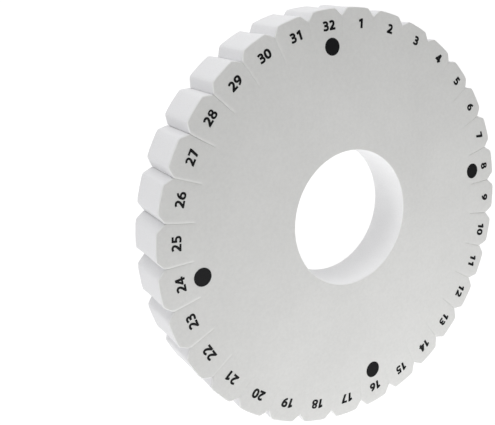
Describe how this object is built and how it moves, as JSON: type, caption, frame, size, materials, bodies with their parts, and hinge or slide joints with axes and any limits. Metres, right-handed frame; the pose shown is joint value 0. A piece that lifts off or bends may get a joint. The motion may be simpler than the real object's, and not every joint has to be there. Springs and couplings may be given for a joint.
{
  "type": "kumihimo disk",
  "caption": "Round foam braiding disc with a large centre hole, notched tabs and cord slits round the rim, and a black number printed on each tab with quarter marks.",
  "frame": {"origin": "centre of the underside, on the plane that the disc lies on", "axes": "+Z out of the printed face along the centre hole, +Y towards number 32, +X towards number 8"},
  "size_m": [0.1524, 0.1524, 0.0172],
  "materials": {
    "foam": "matte closed-cell EVA foam, pale grey-white, smooth skin with a fine cell grain",
    "printing_ink": "matte black screen-printing ink film"
  },
  "bodies": {
    "root": {"foam_disk": "foam", "number_01": "printing_ink", "number_02": "printing_ink", "number_03": "printing_ink", "number_04": "printing_ink", "number_05": "printing_ink", "number_06": "printing_ink", "number_07": "printing_ink", "number_08": "printing_ink", "number_09": "printing_ink", "number_10": "printing_ink", "number_11": "printing_ink", "number_12": "printing_ink", "number_13": "printing_ink", "number_14": "printing_ink", "number_15": "printing_ink", "number_16": "printing_ink", "number_17": "printing_ink", "number_18": "printing_ink", "number_19": "printing_ink", "number_20": "printing_ink", "number_21": "printing_ink", "number_22": "printing_ink", "number_23": "printing_ink", "number_24": "printing_ink", "number_25": "printing_ink", "number_26": "printing_ink", "number_27": "printing_ink", "number_28": "printing_ink", "number_29": "printing_ink", "number_30": "printing_ink", "number_31": "printing_ink", "number_32": "printing_ink", "round_mark_08": "printing_ink", "round_mark_16": "printing_ink", "round_mark_24": "printing_ink", "round_mark_32": "printing_ink"}
  },
  "joints": []
}
